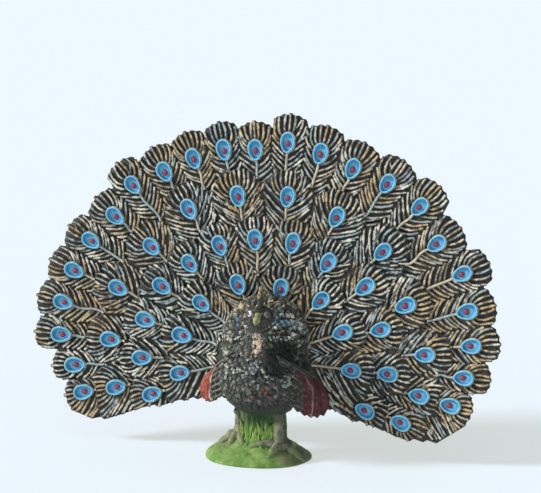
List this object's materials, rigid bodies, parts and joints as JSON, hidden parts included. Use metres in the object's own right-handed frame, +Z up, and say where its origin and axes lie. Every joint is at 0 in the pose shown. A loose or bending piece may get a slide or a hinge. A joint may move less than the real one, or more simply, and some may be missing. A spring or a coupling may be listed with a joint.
{
  "type": "peacock figurine",
  "caption": "Small moulded plastic peacock displaying its tail: the bird stands on a round grass base, with the spread, eye-spotted feather fan standing up and leaning back behind it.",
  "frame": {"origin": "middle of the grass base's flat underside, on the ground", "axes": "+Z up, the bird looks along -Y, +X to the viewer's right, along the width of the fan"},
  "size_m": [0.0921, 0.0225, 0.0643],
  "materials": {
    "painted_grass": "matte green paint with olive brown legs and toes",
    "painted_plumage": "near black green paint, dry brushed grey and cream, rust red wing feathers",
    "painted_tail": "dark brown paint, barbs dry brushed cream and gold, sky blue eyes with a red spot"
  },
  "bodies": {
    "root": {"grass_base": "painted_grass", "peacock_bird": "painted_plumage", "tail_fan": "painted_tail"}
  },
  "joints": []
}
